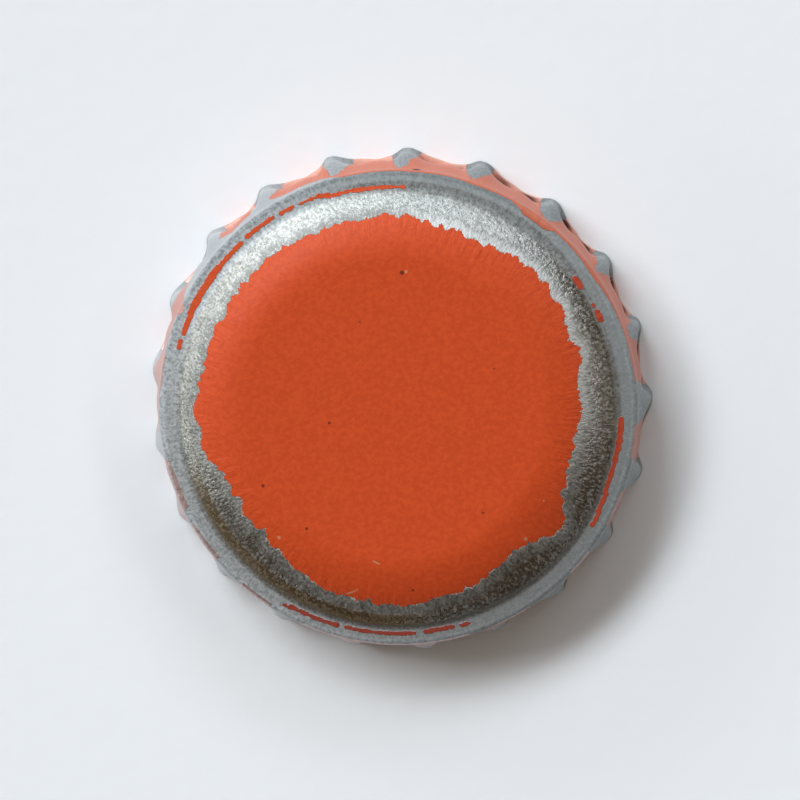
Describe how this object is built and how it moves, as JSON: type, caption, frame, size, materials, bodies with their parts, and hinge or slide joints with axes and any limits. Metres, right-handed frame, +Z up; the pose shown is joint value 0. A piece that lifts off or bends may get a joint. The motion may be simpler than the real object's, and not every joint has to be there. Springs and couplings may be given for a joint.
{
  "type": "bottle cap",
  "caption": "Used crimped crown cap, closed side up: fluted tinplate shell with worn orange lacquer and a moulded sealing liner inside.",
  "frame": {"origin": "centre of the plane that the rim's lowest edge stands on", "axes": "+Z up through the middle of the panel, square to it; +X through the middle of one tooth"},
  "size_m": [0.0286, 0.0288, 0.0063],
  "materials": {
    "lacquered_tinplate": "satin",
    "liner_compound": "satin"
  },
  "bodies": {
    "root": {"cap_shell": "lacquered_tinplate", "sealing_liner": "liner_compound"}
  },
  "joints": []
}
